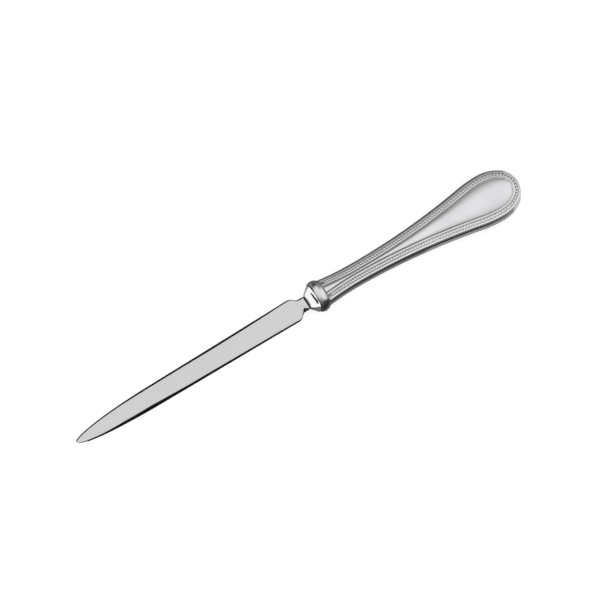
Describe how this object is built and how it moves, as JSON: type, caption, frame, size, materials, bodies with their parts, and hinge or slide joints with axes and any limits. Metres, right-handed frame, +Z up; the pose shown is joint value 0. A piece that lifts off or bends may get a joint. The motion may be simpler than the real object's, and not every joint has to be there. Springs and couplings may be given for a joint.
{
  "type": "letter opener",
  "caption": "Hollow-handled metal letter opener with a flat two-edged polished blade, a flared bolster, a domed collar and a satin handle framed by a row of beads.",
  "frame": {"origin": "under the middle of the box, on the plane that the collar's underside touches", "axes": "+X along the handle from the blade's tip towards the butt, +Y to the left seen from above with the butt ahead, +Z up out of the panel of the front shell"},
  "size_m": [0.211, 0.0208, 0.0117],
  "materials": {
    "polished_blade": "mirror polished",
    "satin_silver": "satin",
    "solder": "dull",
    "cement": "matt"
  },
  "bodies": {
    "root": {"blade": "polished_blade", "collar": "satin_silver", "front_shell": "satin_silver", "back_shell": "satin_silver", "seam_solder": "solder", "cement_fill": "cement"}
  },
  "joints": []
}
